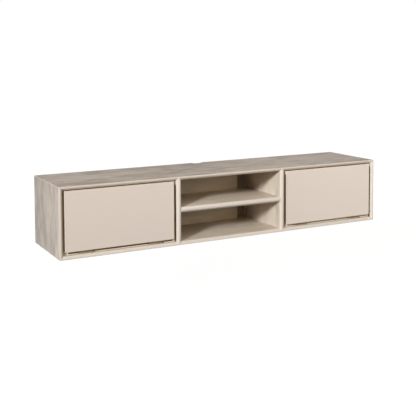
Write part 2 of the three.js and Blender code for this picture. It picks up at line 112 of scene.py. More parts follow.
camera = bpy.data.objects.new("photo_camera", bpy.data.cameras.new("photo_camera"))
camera.data.lens = CAMERA_LENS
camera.data.sensor_width = CAMERA_SENSOR
camera.data.shift_y = CAMERA_SHIFT
camera_aim = camera_turn(CAMERA_YAW, CAMERA_PITCH, CAMERA_ROLL)
camera.matrix_world = Matrix.Translation(CAMERA_PLACE) @ camera_aim
bpy.context.scene.collection.objects.link(camera)
bpy.context.scene.camera = camera
bpy.context.scene.view_settings.view_transform = "Standard"
print("camera", tuple(round(value, 3) for value in camera.matrix_world.translation))

# %% [markdown]
# Shader nodes, written as arithmetic. A material's pattern is a sum of noises and masks, and as
# node links it is hard to read. Here one small class wraps a socket, so that an expression such as
# 1 - mask adds the Math node for it, and one method adds every other kind of node.

# %% Socket arithmetic


class Socket:
    """An output socket that can be added, subtracted, multiplied and compared."""

    def __init__(self, finish, source):
        self.finish = finish
        self.source = source

    def math(self, operation, *operands):
        sockets = dict(zip(("Value", "Value_001"), operands))
        return self.finish.node("ShaderNodeMath", {"operation": operation}, sockets, "Value")

    def __add__(self, other):
        return self.math("ADD", self, other)

    def __radd__(self, other):
        return self.math("ADD", other, self)

    def __sub__(self, other):
        return self.math("SUBTRACT", self, other)

    def __rsub__(self, other):
        return self.math("SUBTRACT", other, self)

    def __mul__(self, other):
        return self.math("MULTIPLY", self, other)

    def __rmul__(self, other):
        return self.math("MULTIPLY", other, self)

    def larger(self, other):
        return self.math("MAXIMUM", self, other)

    def size(self):
        return self.math("ABSOLUTE", self)

    def smooth(self, start, end):
        """0 at start and below, 1 at end and above, with a soft turn at both."""
        settings = {"interpolation_type": "SMOOTHSTEP"}
        sockets = {"Value": self, "From Min": start, "From Max": end}
        return self.finish.node("ShaderNodeMapRange", settings, sockets, "Result")


# %% [markdown]
# A material builder. Each finish below is a handful of noises, masks and mixes of colours. The
# builder has one method for each of them, and one that ends the material in its shader. Its
# patterns could be pictures, but as noise they need no file and stay sharp from near.

# %% A socket by its name


def by_name(sockets, name):
    """The socket with that identifier, or else with that name."""
    for socket in sockets:
        if socket.identifier == name:
            return socket
    return sockets[name]


# %% Material builder
NOISE_ROUGHNESS = 0.5


class Finish:
    """A material that is built up node by node."""

    def __init__(self, name):
        self.material = bpy.data.materials.new(name)
        self.material.use_nodes = True
        self.tree = self.material.node_tree
        self.tree.nodes.clear()

    def node(self, kind, settings, sockets, output):
        """Adds a node of that kind: its settings first, then its sockets' values or links."""
        made = self.tree.nodes.new(kind)
        for name, value in settings.items():
            setattr(made, name, value)
        for name, value in sockets.items():
            socket = by_name(made.inputs, name)
            if isinstance(value, Socket):
                self.tree.links.new(value.source, socket)
            else:
                socket.default_value = value
        return Socket(self, by_name(made.outputs, output))

    def place(self):
        """The object coordinates, in metres."""
        return self.node("ShaderNodeTexCoord", {}, {}, "Object")

    def axes(self):
        """The three object coordinates as separate values, in metres."""
        split = self.node("ShaderNodeSeparateXYZ", {}, {"Vector": self.place()}, "X")
        outputs = split.source.node.outputs
        return [Socket(self, outputs[name]) for name in "XYZ"]

    def noise(self, cells_per_metre, detail):
        """Noise with that many cells in a metre along X, Y and Z, and detail finer layers."""
        scaling = {"Vector": self.place(), "Scale": cells_per_metre}
        stretched = self.node("ShaderNodeMapping", {}, scaling, "Vector")
        sockets = {"Vector": stretched, "Scale": 1.0, "Detail": detail, "Roughness": NOISE_ROUGHNESS}
        return self.node("ShaderNodeTexNoise", {}, sockets, "Fac")

    def mix(self, first, second, factor):
        """first where factor is 0, second where it is 1; both are colours."""
        sockets = {"Factor_Float": factor, "A_Color": first, "B_Color": second}
        return self.node("ShaderNodeMix", {"data_type": "RGBA"}, sockets, "Result_Color")

    def bump(self, height, depth):
        """A normal for a relief of that depth, where height runs from 0 to 1."""
        sockets = {"Height": height, "Distance": depth, "Strength": 1.0}
        return self.node("ShaderNodeBump", {}, sockets, "Normal")

    def surface(self, sockets):
        """Ends the material in a Principled shader with those sockets."""
        shader = self.node("ShaderNodeBsdfPrincipled", {}, sockets, "BSDF")
        self.node_output(shader)
        return self.material

    def node_output(self, shader):
        output = self.tree.nodes.new("ShaderNodeOutputMaterial")
        self.tree.links.new(shader.source, output.inputs["Surface"])


# %% Colours


def colour(red, green, blue):
    """A colour as linear red, green and blue, opaque."""
    return (red, green, blue, 1.0)


def grey(value):
    """A colour with that value for red, green and blue."""
    return colour(value, value, value)


BLACK = grey(0)
WHITE = grey(1)
print("black", BLACK, "white", WHITE)

# %% [markdown]
# The studio's lamps. The photograph shows the console cut out on white, lit by one soft lamp from
# the front left, whose shadows cross the open bay. Two weak, wide lamps fill the shadows: a warm
# one from the front, which reaches the bay's back, and a cool one from the front right. Distant
# lamps are used, because their direction is then the same all along the console and can be read
# off the photograph's shadows.

# %% Lamps
KEY_FROM = Vector((-1.31, -1.0, 0.64))
KEY_LEVEL = 1.02
KEY_TINT = (0.91, 0.965, 1.0)
KEY_SIZE = math.radians(9)
FRONT_FROM = Vector((0.3, -1.0, 0.6))
FRONT_LEVEL = 0.18
FRONT_TINT = (1.0, 0.80, 0.32)
RIGHT_FROM = Vector((1.0, -0.9, 0.5))
RIGHT_LEVEL = 0.28
RIGHT_TINT = (0.45, 0.64, 1.0)
FILL_SIZE = math.radians(60)


def lamp(name, source, level, tint, size):
    """A distant lamp from source: at level 1 a surface that faces it shows its own colour."""
    light = bpy.data.lights.new(name, "SUN")
    light.energy = level * math.pi
    light.color = tint
    light.angle = size
    made = bpy.data.objects.new(name, light)
    made.rotation_euler = source.to_track_quat("Z", "Y").to_euler()
    bpy.context.scene.collection.objects.link(made)


lamp("key_lamp", KEY_FROM, KEY_LEVEL, KEY_TINT, KEY_SIZE)
lamp("front_lamp", FRONT_FROM, FRONT_LEVEL, FRONT_TINT, FILL_SIZE)
lamp("right_lamp", RIGHT_FROM, RIGHT_LEVEL, RIGHT_TINT, FILL_SIZE)
print("lamps", len(bpy.data.lights))

# %% [markdown]
# The backdrop. The world is white for the camera, and for the rays that a mirror or a glass sends
# on, so that metal shows it too. To all other rays it is a dim, warm room, which only lifts the
# shadows. Light Path tells the two kinds of rays apart.

# %% World
ROOM_LIGHT = colour(0.257, 0.185, 0.129)

world = bpy.data.worlds.new("white_backdrop")
world.use_nodes = True
bpy.context.scene.world = world


class Backdrop(Finish):
    """The world's nodes, built by the same methods as a material's."""

    def __init__(self, background):
        self.material = background
        self.tree = background.node_tree
        self.tree.nodes.clear()


def seen_directly(finish):
    """1 for rays from the camera, a mirror or a glass, 0 for those that carry light."""
    camera_ray = finish.node("ShaderNodeLightPath", {}, {}, "Is Camera Ray")
    outputs = camera_ray.source.node.outputs
    glossy_ray = Socket(finish, outputs["Is Glossy Ray"])
    through_ray = Socket(finish, outputs["Is Transmission Ray"])
    return camera_ray.larger(glossy_ray).larger(through_ray)


backdrop = Backdrop(world)
backdrop_colour = backdrop.mix(ROOM_LIGHT, WHITE, seen_directly(backdrop))
backdrop_light = backdrop.node("ShaderNodeBackground", {}, {"Color": backdrop_colour}, "Background")
backdrop_end = backdrop.tree.nodes.new("ShaderNodeOutputWorld")
backdrop.tree.links.new(backdrop_light.source, backdrop_end.inputs["Surface"])
print("world", world.name)

# %% [markdown]
# The floor is plain and pale. Seen by the camera it shines almost white, like the backdrop, and
# only its small diffuse part takes the shadow. To the rays that carry light it is a dull grey, so
# that it throws little light up at the console. It lies well below, as the console hangs on a wall.

# %% Floor's finish
FLOOR_GLOW = 0.98
FLOOR_SHADE = 0.05
FLOOR_BOUNCE = 0.15

floor_finish = Finish("pale_floor")
floor_seen = seen_directly(floor_finish)
glow_sockets = {"Color": WHITE, "Strength": FLOOR_GLOW}
floor_glow = floor_finish.node("ShaderNodeEmission", {}, glow_sockets, "Emission")
floor_shade = floor_finish.node("ShaderNodeBsdfDiffuse", {}, {"Color": grey(FLOOR_SHADE)}, "BSDF")
shown_sockets = {"Shader": floor_glow, "Shader_001": floor_shade}
floor_shown = floor_finish.node("ShaderNodeAddShader", {}, shown_sockets, "Shader")
floor_bounce = floor_finish.node("ShaderNodeBsdfDiffuse", {}, {"Color": grey(FLOOR_BOUNCE)}, "BSDF")
mixed_sockets = {"Fac": floor_seen, "Shader": floor_bounce, "Shader_001": floor_shown}
floor_finish.node_output(floor_finish.node("ShaderNodeMixShader", {}, mixed_sockets, "Shader"))
print("floor's finish", floor_finish.material.name)

# %% Floor's plane
FLOOR_DROP = 0.45
FLOOR_REACH = 60.0

floor_level = frame_box[0][Z] - FLOOR_DROP
corner_signs = ((-1, -1), (1, -1), (1, 1), (-1, 1))
floor_corners = [(x * FLOOR_REACH, y * FLOOR_REACH, floor_level) for x, y in corner_signs]
floor_mesh = bpy.data.meshes.new("floor")
floor_mesh.from_pydata(floor_corners, [], [(0, 1, 2, 3)])
floor_mesh.materials.append(floor_finish.material)
floor = bpy.data.objects.new("floor", floor_mesh)
bpy.context.scene.collection.objects.link(floor)
floor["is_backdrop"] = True
print("floor at", round(floor_level / MM), "mm")

# %% [markdown]
# Greige wood. Outside, the boards are a matt taupe wood with soft cloudy figure, some 30 mm wide
# and drawn out along the grain, with straight growth lines and fine pores in it. Inside, the
# boards have the same wood in a lighter, calmer tone, and every board has a smooth, paler lipping
# along its front edge, in which the bevel is cut. The figure could be a picture of veneer. As
# noise stretched along the grain it needs none, and it runs on over every edge as in solid stock.
# The lying boards' outside is a little darker than the upright boards'. A noise swings
# about one half, and its detail says how many finer layers lie in it.

# %% Detail and mean of a noise
CALM = 1.0
PLAIN = 2.0
RICH = 3.0
NOISE_MEAN = 0.5
print("layers in a calm, a plain and a rich noise", CALM, PLAIN, RICH)

# %% Wood's colours and figure
TAUPE_LIGHT = colour(0.585, 0.515, 0.448)
TAUPE_DARK = colour(0.365, 0.318, 0.275)
OUTSIDE_TONE = {"X": 0.91, "Z": 1.03}
LINING_LIGHT = colour(0.690, 0.594, 0.492)
LINING_DARK = colour(0.600, 0.511, 0.417)
LIPPING_COLOUR = colour(0.730, 0.645, 0.570)
FIGURE_ACROSS = 34.0
FIGURE_ALONG = 9.0
FIGURE_WEIGHT = {"X": 3.0, "Z": 2.0}
TONE_ACROSS = 8.0
TONE_ALONG = 2.0
TONE_WEIGHT = {"X": 1.9, "Z": 1.0}
LINE_ACROSS = 240.0
LINE_ALONG = 4.0
LINE_WEIGHT = 0.9
PORE_ACROSS = 900.0
PORE_ALONG = 30.0
PORE_WEIGHT = 0.9


def along_grain(grain, along, across):
    """Noise cells in a metre for X, Y and Z, with the grain along the axis named grain."""
    return tuple(along if axis == grain else across for axis in "XYZ")


def wood_figure(finish, grain):
    """The wood's shade from 0, dark, to 1, light, and the noises for its gloss and its relief."""
    figure = finish.noise(along_grain(grain, FIGURE_ALONG, FIGURE_ACROSS), RICH)
    lines = finish.noise(along_grain(grain, LINE_ALONG, LINE_ACROSS), PLAIN)
    pores = finish.noise(along_grain(grain, PORE_ALONG, PORE_ACROSS), CALM)
    tone = finish.noise(along_grain(grain, TONE_ALONG, TONE_ACROSS), CALM)
    cloud = FIGURE_WEIGHT[grain] * (figure - NOISE_MEAN) + TONE_WEIGHT[grain] * (tone - NOISE_MEAN)
    grain_lines = LINE_WEIGHT * (lines - NOISE_MEAN) + PORE_WEIGHT * (pores - NOISE_MEAN)
    shade = (cloud + grain_lines + NOISE_MEAN).smooth(0, 1)
    return shade, figure, pores


def toned(shade, tone):
    """The colour with its red, green and blue multiplied by tone."""
    return colour(*(value * tone for value in shade[:3]))


print("figure's cells", in_mm((1 / FIGURE_ACROSS, 1 / FIGURE_ALONG)), "mm wide and long")

# %% [markdown]
# Where each tone of the wood lies. The boards could be cut into faces with a material each. Here
# one board carries them all, and masks on the object coordinates choose between them, so that no
# edge has to lie where the tone changes. The outside begins a little within the outer faces, and
# along the mitred upper edges it is paler. Below the shelf the lining is a little darker than
# above it, a painted shade under the shelf.

# %% Masks for the outside, the lining and the lipping
MASK_BLUR = 0.5 * MM
LIPPING_BACK = -386.5 * MM
LINING_REACH = 899 * MM
LINING_TOP = 84 * MM
LINING_LOW = -249 * MM
MITRE_SIDE = 896.5 * MM
MITRE_TOP = 81.5 * MM
MITRE_PALE_SHARE = 0.8
# Painted shade under the shelf: the lower bay's lining is darker.
LOW_BAY_TOP = -67 * MM
LOW_BAY_SHADE = 0.965


def above(value, limit):
    """1 where the value is above the limit, 0 below, with a soft change between."""
    return value.smooth(limit - MASK_BLUR, limit + MASK_BLUR)


def between(value, low, high):
    """1 where the value is above low and not above high."""
    return above(value, low) * (1 - above(value, high))


def plain_board(finish, grain, shade, place):
    """The board's colour behind its lipping, and the mask of its lining."""
    x, y, z = place
    outside_dark = toned(TAUPE_DARK, OUTSIDE_TONE[grain])
    outside_light = toned(TAUPE_LIGHT, OUTSIDE_TONE[grain])
    taupe = finish.mix(outside_dark, outside_light, shade)
    at_mitre = above(x.size(), MITRE_SIDE) * above(z, MITRE_TOP)
    taupe = finish.mix(taupe, LIPPING_COLOUR, MITRE_PALE_SHARE * at_mitre)
    high_lining = finish.mix(LINING_DARK, LINING_LIGHT, shade)
    # The lower bay's lining carries a painted shade.
    low_dark = toned(LINING_DARK, LOW_BAY_SHADE)
    low_light = toned(LINING_LIGHT, LOW_BAY_SHADE)
    low_lining = finish.mix(low_dark, low_light, shade)
    lining = finish.mix(low_lining, high_lining, above(z, LOW_BAY_TOP))
    inside = (1 - above(x.size(), LINING_REACH)) * between(z, LINING_LOW, LINING_TOP)
    return finish.mix(taupe, lining, inside), inside


print("lining's reach, foot and top", in_mm((LINING_REACH, LINING_LOW, LINING_TOP)), "mm")

# %% [markdown]
# Painted light and shade on the lying boards. The photograph's lamp stands near, so its light
# falls off along the console. Distant lamps light a plane evenly, so three gentle falls are mixed
# into the colours: painted shade towards the top's rear and up the bay's back, and painted light
# from right to left along the shelf. In the photograph the lippings of the bottom and the shelf
# are a little darker than the rest and the top's bevel a little lighter, so they are toned by
# their height: a painted shade on the bottom's lipping, a painted light on the top's bevel.

# %% Lying boards
# Painted shade towards the top's rear and up the bay's back, painted light along the shelf.
TOP_FALL = (-300 * MM, -60 * MM)
TOP_FALL_SHARE = 0.10
BACK_FACE = -75 * MM
LOW_BACK_SHADE = (-222 * MM, -170 * MM)
HIGH_BACK_SHADE = (-52 * MM, 5 * MM)
BACK_SHADE_SHARE = 0.20
SHELF_LOW = -96 * MM
SHELF_TOP = -65 * MM
SHELF_RISE = (-60 * MM, 290 * MM)
SHELF_PAINTED_LIGHT = colour(0.86, 0.76, 0.66)
SHELF_PAINTED_LIGHT_SHARE = 0.55
SHELF_LIPPING_TONE = 0.93
# Painted shade on the bottom's lipping and painted light on the top's bevel.
LOW_LIPPING = -230 * MM
LOW_LIPPING_SHADE = 0.88
TOP_BEVEL = (60 * MM, 77 * MM)
TOP_BEVEL_LIGHT = colour(0.92, 0.775, 0.600)


def lying_falls(finish, board, inside, place):
    """The board's colour with the three falls of painted shade and light."""
    x, y, z = place
    board = finish.mix(board, BLACK, TOP_FALL_SHARE * y.smooth(*TOP_FALL) * (1 - inside))
    back_shade = z.smooth(*LOW_BACK_SHADE) * (1 - above(z, SHELF_LOW)) + z.smooth(*HIGH_BACK_SHADE)
    board = finish.mix(board, BLACK, BACK_SHADE_SHARE * back_shade * above(y, BACK_FACE) * inside)
    shelf_light = SHELF_PAINTED_LIGHT_SHARE * x.smooth(*SHELF_RISE) * between(z, SHELF_LOW, SHELF_TOP)
    return finish.mix(board, SHELF_PAINTED_LIGHT, shelf_light * inside)


def lying_lipping(finish, z):
    """The lipping's colour by its height: painted shade low down, painted light on the top's bevel."""
    low_lipping = toned(LIPPING_COLOUR, LOW_LIPPING_SHADE)
    shelf_lipping = toned(LIPPING_COLOUR, SHELF_LIPPING_TONE)
    lipping = finish.mix(low_lipping, LIPPING_COLOUR, above(z, LOW_LIPPING))
    lipping = finish.mix(lipping, TOP_BEVEL_LIGHT, between(z, *TOP_BEVEL))
    return finish.mix(lipping, shelf_lipping, between(z, SHELF_LOW, SHELF_TOP))


print("shelf's tone between heights", in_mm((SHELF_LOW, SHELF_TOP)), "mm")

# %% [markdown]
# Painted shade on the upright boards. Beside the doors the photograph's gaps are brown even where
# the lamp reaches in, so the faces of the dividers and the sides in those gaps carry a painted
# shade. The upper ends of all but the leftmost gap are lit in the photograph and stay pale.

# %% Upright boards
# Painted shade on the faces in the gaps beside the doors.
GAP_SHADE = colour(0.160, 0.100, 0.034)
DIVIDER_FACE = 311.5 * MM
SIDE_FACE = 884.5 * MM
GAP_BACK = -362 * MM
LIT_CORNER = 47 * MM
LEFT_END = -800 * MM


def lit_corner(x, z):
    """1 in the upper end of every gap beside a door but the leftmost."""
    return above(z, LIT_CORNER) * above(x, LEFT_END)


def gap_shaded(finish, board, place):
    """The board's colour with a painted shade on its faces beside the doors."""
    x, y, z = place
    beside_door = between(x.size(), DIVIDER_FACE, SIDE_FACE) * (1 - above(y, GAP_BACK))
    return finish.mix(board, GAP_SHADE, beside_door * (1 - lit_corner(x, z)))


print("stain between widths", in_mm((DIVIDER_FACE, SIDE_FACE)), "mm")

# %% [markdown]
# The wood finishes. A board's grain runs along its length, so the lying and the upright boards
# need a material each, made by one function. The pores are a faint relief behind the lipping.

# %% Wood finishes
WOOD_ROUGHNESS = 0.62
ROUGHNESS_DRIFT = 0.1
SATIN_SPECULAR = 0.35
PORE_DEPTH = 0.05 * MM


def wood(name, grain):
    """Wood with its grain along X or Z: taupe outside, lighter inside, lipped in front."""
    finish = Finish(name)
    shade, figure, pores = wood_figure(finish, grain)
    place = finish.axes()
    board, inside = plain_board(finish, grain, shade, place)
    if grain == "X":
        board = lying_falls(finish, board, inside, place)
        lipping = lying_lipping(finish, place[Z])
    else:
        board = gap_shaded(finish, board, place)
        lipping = LIPPING_COLOUR
    behind_lipping = above(place[Y], LIPPING_BACK)
    return finish.surface({
        "Base Color": finish.mix(lipping, board, behind_lipping),
        "Roughness": WOOD_ROUGHNESS + ROUGHNESS_DRIFT * (figure - NOISE_MEAN),
        "Specular IOR Level": SATIN_SPECULAR,
        "Normal": finish.bump(pores * behind_lipping, PORE_DEPTH),
    })


wood_lengthwise = wood("greige_wood_lengthwise", "X")
wood_upright = wood("greige_wood_upright", "Z")
print("wood", wood_lengthwise.name, wood_upright.name)

# %% [markdown]
# The doors' ends. Beside the dividers the photograph's gaps are a little wider than the packed
# doors leave them, so the fronts that are made below end that much earlier there. Their finish
# needs their place too, for the stain on their ends, so the box of a front is worked out first.

# %% Places of the door fronts
INNER_TRIM = 2.5 * MM
SIDES = {"left": -1, "right": 1}


def door_box(side):
    """The low and high corner of a door's front, with its inner end moved outwards by the trim."""
    low, high = (list(corner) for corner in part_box(f"door_panel_{side}"))
    inner_corner = high if side == "left" else low
    inner_corner[X] += SIDES[side] * INNER_TRIM
    return low, high


for side in SIDES:
    low, high = door_box(side)
    print(side, "door", in_mm(np.subtract(high, low)))

# %% [markdown]
# The doors' lacquer. The fronts are sprayed: no grain shows, only the faint orange peel that
# spraying leaves and a very slight drift of tone. The photograph's doors also darken by a tenth
# towards their foot and towards the left, as its lamp is near, so this fall of light is painted
# into the colour from the height and the width. The front part of the two end faces carries the
# same painted shade as the boards' faces across the gaps. One mask on the distance from the
# door's middle finds the ends of both doors, which lie as mirror images.

# %% Painted shade on the doors' ends
END_SHADE_SETBACK = 1.4 * MM
END_SHADE_REACH = 12 * MM
END_SHADE_DEPTH = 1.0 * MM

lacquer_finish = Finish("greige_lacquer")
door_x, door_y, door_z = lacquer_finish.axes()
door_low, door_high = door_box("right")
door_middle = (door_low[X] + door_high[X]) / 2
door_half = (door_high[X] - door_low[X]) / 2

from_middle = (door_x.size() - door_middle).size()
at_end = above(from_middle, door_half - END_SHADE_DEPTH)
near_front = between(door_y, door_low[Y] + END_SHADE_SETBACK, door_low[Y] + END_SHADE_REACH)
# Painted shade on the front part of each door's end faces.
shaded_end = at_end * near_front * (1 - lit_corner(door_x, door_z))
print("right door's middle and half length", in_mm((door_middle, door_half)), "mm")

# %% Lacquer finish
LACQUER_LIGHT = colour(0.784, 0.677, 0.602)
LACQUER_DARK = colour(0.687, 0.594, 0.527)
LACQUER_ROUGHNESS = 0.5
HEIGHT_WEIGHT = 0.57
WIDTH_WEIGHT = 0.55
DRIFT_WEIGHT = 0.25
DRIFT_CELLS = 4.0
PEEL_CELLS = 500.0
PEEL_DEPTH = 0.02 * MM

drift = lacquer_finish.noise((DRIFT_CELLS,) * 3, PLAIN)
peel = lacquer_finish.noise((PEEL_CELLS,) * 3, CALM)
door_height = door_high[Z] - door_low[Z]
# Painted light: brighter up the doors and towards the right, with the lacquer's own drift of tone.
rising = HEIGHT_WEIGHT * (door_z - door_low[Z]) * (1 / door_height)
rightwards = WIDTH_WEIGHT * door_x.smooth(0, frame_box[1][X])
lamp_fall_and_drift = rising + rightwards + DRIFT_WEIGHT * (drift - NOISE_MEAN)
lamp_fall_and_drift_colour = lacquer_finish.mix(LACQUER_DARK, LACQUER_LIGHT, lamp_fall_and_drift)
# On the ends the painted shade is mixed over that colour.
lacquer = lacquer_finish.surface({
    "Base Color": lacquer_finish.mix(lamp_fall_and_drift_colour, GAP_SHADE, shaded_end),
    "Roughness": LACQUER_ROUGHNESS + ROUGHNESS_DRIFT * (drift - NOISE_MEAN),
    "Specular IOR Level": SATIN_SPECULAR,
    "Normal": lacquer_finish.bump(peel, PEEL_DEPTH),
})
print("lacquer", lacquer.name)

# %% [markdown]
# Materials of the fittings and the rear: thin fibreboard, zinc-plated steel, grey enamel and
# moulded plastic. Each has the surface of its trade: pressed fibres, crystals of zinc, the fine
# spark-eroded grain of a mould. All are fine grains in two close colours, so one function makes
# them, and only the size of the grains, the colours and the gloss differ.

# %% Looks of the grainy finishes
GRAINY_LOOKS = {
    "fibreboard": {
        "light": colour(0.34, 0.27, 0.20),
        "dark": colour(0.24, 0.185, 0.13),
        "cells": 600.0,
        "rough": 0.8,
    },
    "bright_zinc": {
        "light": colour(0.66, 0.67, 0.69),
        "dark": colour(0.52, 0.53, 0.55),
        "cells": 300.0,
        "rough": 0.35,
        "metallic": 1.0,
    },
    "grey_enamel": {
        "light": colour(0.36, 0.35, 0.33),
        "dark": colour(0.32, 0.31, 0.295),
        "cells": 250.0,
        "rough": 0.4,
    },
    "black_plastic": {
        "light": colour(0.036, 0.034, 0.032),
        "dark": colour(0.026, 0.024, 0.023),
        "cells": 1500.0,
        "rough": 0.55,
    },
    "grey_plastic": {
        "light": colour(0.35, 0.33, 0.31),
        "dark": colour(0.30, 0.285, 0.265),
        "cells": 1500.0,
        "rough": 0.5,
    },
}
print("grainy looks", len(GRAINY_LOOKS))

# %% Fibreboard, metals and plastics
GRAIN_RANGE = (0.3, 0.7)
SPECKLE_DRIFT = 0.15
SPECKLE_DEPTH = 0.02 * MM


def speckled(name, light, dark, cells, rough, metallic=0.0):
    """A finish that varies between two colours in grains of that many cells a metre."""
    finish = Finish(name)
    grains = finish.noise((cells,) * 3, PLAIN)
    return finish.surface({
        "Base Color": finish.mix(dark, light, grains.smooth(*GRAIN_RANGE)),
        "Roughness": rough + SPECKLE_DRIFT * (grains - NOISE_MEAN),
        "Metallic": metallic,
        "Normal": finish.bump(grains, SPECKLE_DEPTH),
    })


grainy = {name: speckled(name, **look) for name, look in GRAINY_LOOKS.items()}
print("grainy finishes", list(grainy))

# %% [markdown]
# The stop frames' wood. Under the doors the photograph shows a dark line with a bright strip below
# it, all along. What closes the gap there is the stop frame's rail, which is pale where the lamp
# reaches its foot and dark above, in the door's shadow. These wide lamps would fill that shadow,
# so it is painted on a strip of the rail, down to the shadow's edge. As the lamp stands on the
# left, each painted strip starts a little to the right of its door's left end. The photograph's
# shadow is weaker under the right door.

# %% Stop frames' wood
STILE_MIDDLE = 598 * MM
STILE_REACH = 270.7 * MM
FRAME_LIGHT = colour(0.76, 0.66, 0.55)
FRAME_DARK = colour(0.68, 0.585, 0.48)
FRAME_ACROSS = 90.0
FRAME_ALONG = 9.0

frame_finish = Finish("pale_stop_frame")
frame_place = frame_finish.axes()
frame_x = frame_place[X]
in_stile = above((frame_x.size() - STILE_MIDDLE).size(), STILE_REACH)
lying_grain = frame_finish.noise(along_grain("X", FRAME_ALONG, FRAME_ACROSS), RICH)
upright_grain = frame_finish.noise(along_grain("Z", FRAME_ALONG, FRAME_ACROSS), RICH)
frame_grain = lying_grain + in_stile * (upright_grain - lying_grain)
frame_wood = frame_finish.mix(FRAME_DARK, FRAME_LIGHT, frame_grain.smooth(*GRAIN_RANGE))
print("rail between its stiles", in_mm((STILE_MIDDLE - STILE_REACH, STILE_MIDDLE + STILE_REACH)), "mm")

# %% Painted shadow on the rails
SHADOW_LINE = -230.2 * MM
SHADOW_TOP = -216 * MM
SHADOW_SHADE = colour(0.158, 0.101, 0.036)
LEFT_STRIP_START = -853 * MM
RIGHT_STRIP_START = 348 * MM
RIGHT_STRIP_SHARE = 0.52
FRAME_ROUGHNESS = 0.6

# A painted shadow on the rails, from the shadow line up to its top.
left_strip = between(frame_x, LEFT_STRIP_START, 0)
right_strip = RIGHT_STRIP_SHARE * above(frame_x, RIGHT_STRIP_START)
strip_height = between(frame_place[Z], SHADOW_LINE, SHADOW_TOP)
in_rail_shadow = (left_strip + right_strip) * strip_height * (1 - in_stile)
stop_wood = frame_finish.surface({
    "Base Color": frame_finish.mix(frame_wood, SHADOW_SHADE, in_rail_shadow),
    "Roughness": FRAME_ROUGHNESS + ROUGHNESS_DRIFT * (frame_grain - NOISE_MEAN),
    "Specular IOR Level": SATIN_SPECULAR,
})
print("stop frames' finish", stop_wood.name)

# %% [markdown]
# The hinges' paint. The flap hinges lie in the same gap, in front of the rail. No dark spot shows
# there in the photograph, so they are painted in a light champagne colour instead of plated. Their
# knuckles reach up into the door's shadow and carry the same painted shadow as the rail behind them.

# %% Champagne paint
PAINT_LIGHT = colour(0.50, 0.40, 0.31)
PAINT_DARK = colour(0.44, 0.35, 0.27)
PAINT_CELLS = 400.0
PAINT_ROUGHNESS = 0.45
KNUCKLE_SHADOW_LINE = -226.5 * MM

paint_finish = Finish("champagne_paint")
# Painted shadow on the knuckles above the shadow line.
in_shadow = above(paint_finish.axes()[Z], KNUCKLE_SHADOW_LINE)
paint_grains = paint_finish.noise((PAINT_CELLS,) * 3, PLAIN)
paint = paint_finish.mix(PAINT_DARK, PAINT_LIGHT, paint_grains.smooth(*GRAIN_RANGE))
champagne = paint_finish.surface({
    "Base Color": paint_finish.mix(paint, SHADOW_SHADE, in_shadow),
    "Roughness": PAINT_ROUGHNESS + SPECKLE_DRIFT * (paint_grains - NOISE_MEAN),
})
print("hinges' finish", champagne.name)

# %% [markdown]
# Every solid gets its finish by the slot that its record names, but the wooden ones also by their
# place: upright boards have upright grain, and the stop frames their own finish.

# %% Materials on the solids
SLOT_FINISH = {
    "lacquer": lacquer,
    "rear_board": grainy["fibreboard"],
    "zinc": grainy["bright_zinc"],
    "champagne": champagne,
    "stay_grey": grainy["grey_enamel"],
    "black_plastic": grainy["black_plastic"],
    "grey_plastic": grainy["grey_plastic"],
}
UPRIGHT_BOARDS = ("side_panel_left", "side_panel_right", "divider_left", "divider_right")
STOP_FRAMES = ("stop_frame_left", "stop_frame_right")


def board_finish(node_name):
    """The wood whose grain runs along that board."""
    return wood_upright if node_name in UPRIGHT_BOARDS else wood_lengthwise


for subpart in frame["record"]["subparts"]:
    slot_name = subpart["material_slot"]
    node_name = subpart["node"]
    if node_name in STOP_FRAMES:
        chosen = stop_wood
    elif slot_name == "veneer":
        chosen = board_finish(node_name)
    else:
        chosen = SLOT_FINISH[slot_name]
    for material_slot in frame["nodes"][node_name].material_slots:
        material_slot.material = chosen

# %% [markdown]
# Boards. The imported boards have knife-sharp edges, as CAD solids do, but a sanded and lacquered
# board has small round arrises, and their thin highlights are what makes the edges readable. A
# board's solid is right in every other way, so a copy of it is used: its loose triangles are
# welded, its flat faces are made whole, and a Bevel modifier rounds every edge.

# %% Eased boards
ARRIS = 0.7 * MM
ARRIS_STEPS = 2
WELD = 0.001 * MM
FLAT_ANGLE = math.radians(1)
EDGE_ANGLE = math.radians(30)
BOARDS = UPRIGHT_BOARDS + ("top_panel", "bottom_panel", "middle_shelf", "bay_back_panel")


def merged_copy(node_name, piece_name):
    """A copy of a node's mesh with its triangles welded and its flat faces whole."""
    work = bmesh.new()
    work.from_mesh(frame["nodes"][node_name].data)
    bmesh.ops.remove_doubles(work, verts=work.verts, dist=WELD)
    bmesh.ops.dissolve_limit(work, angle_limit=FLAT_ANGLE, verts=work.verts, edges=work.edges)
    mesh = bpy.data.meshes.new(piece_name)
    work.to_mesh(mesh)
    work.free()
    return mesh


def add_piece(mesh, finish, body, slot_name, *replaced_nodes):
    """Makes the mesh a piece with that finish, which rides on a body and may stand for nodes."""
    mesh.materials.clear()
    mesh.materials.append(finish)
    piece = bpy.data.objects.new(mesh.name, mesh)
    bpy.context.scene.collection.objects.link(piece)
    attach(piece, body)
    if replaced_nodes:
        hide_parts(*replaced_nodes)
    return piece


for board_name in BOARDS:
    board_mesh = merged_copy(board_name, board_name + "_eased")
    board_mesh.shade_smooth()
    board = add_piece(board_mesh, board_finish(board_name), "carcass", "veneer", board_name)
    eased = board.modifiers.new("eased edges", "BEVEL")
    eased.width = ARRIS
    eased.segments = ARRIS_STEPS
    eased.limit_method = "ANGLE"
    eased.angle_limit = EDGE_ANGLE
    eased.harden_normals = True
print("boards", len(BOARDS))

# %% [markdown]
# Rings of points. The door fronts, the screw heads and the gland caps below are all surfaces over
# a grid: rings of points that follow one another, joined by quads. The quads' numbers are the same
# sum for every such grid, so one function works them out for all rings at once.

# %% Rings and faces
QUAD = 4


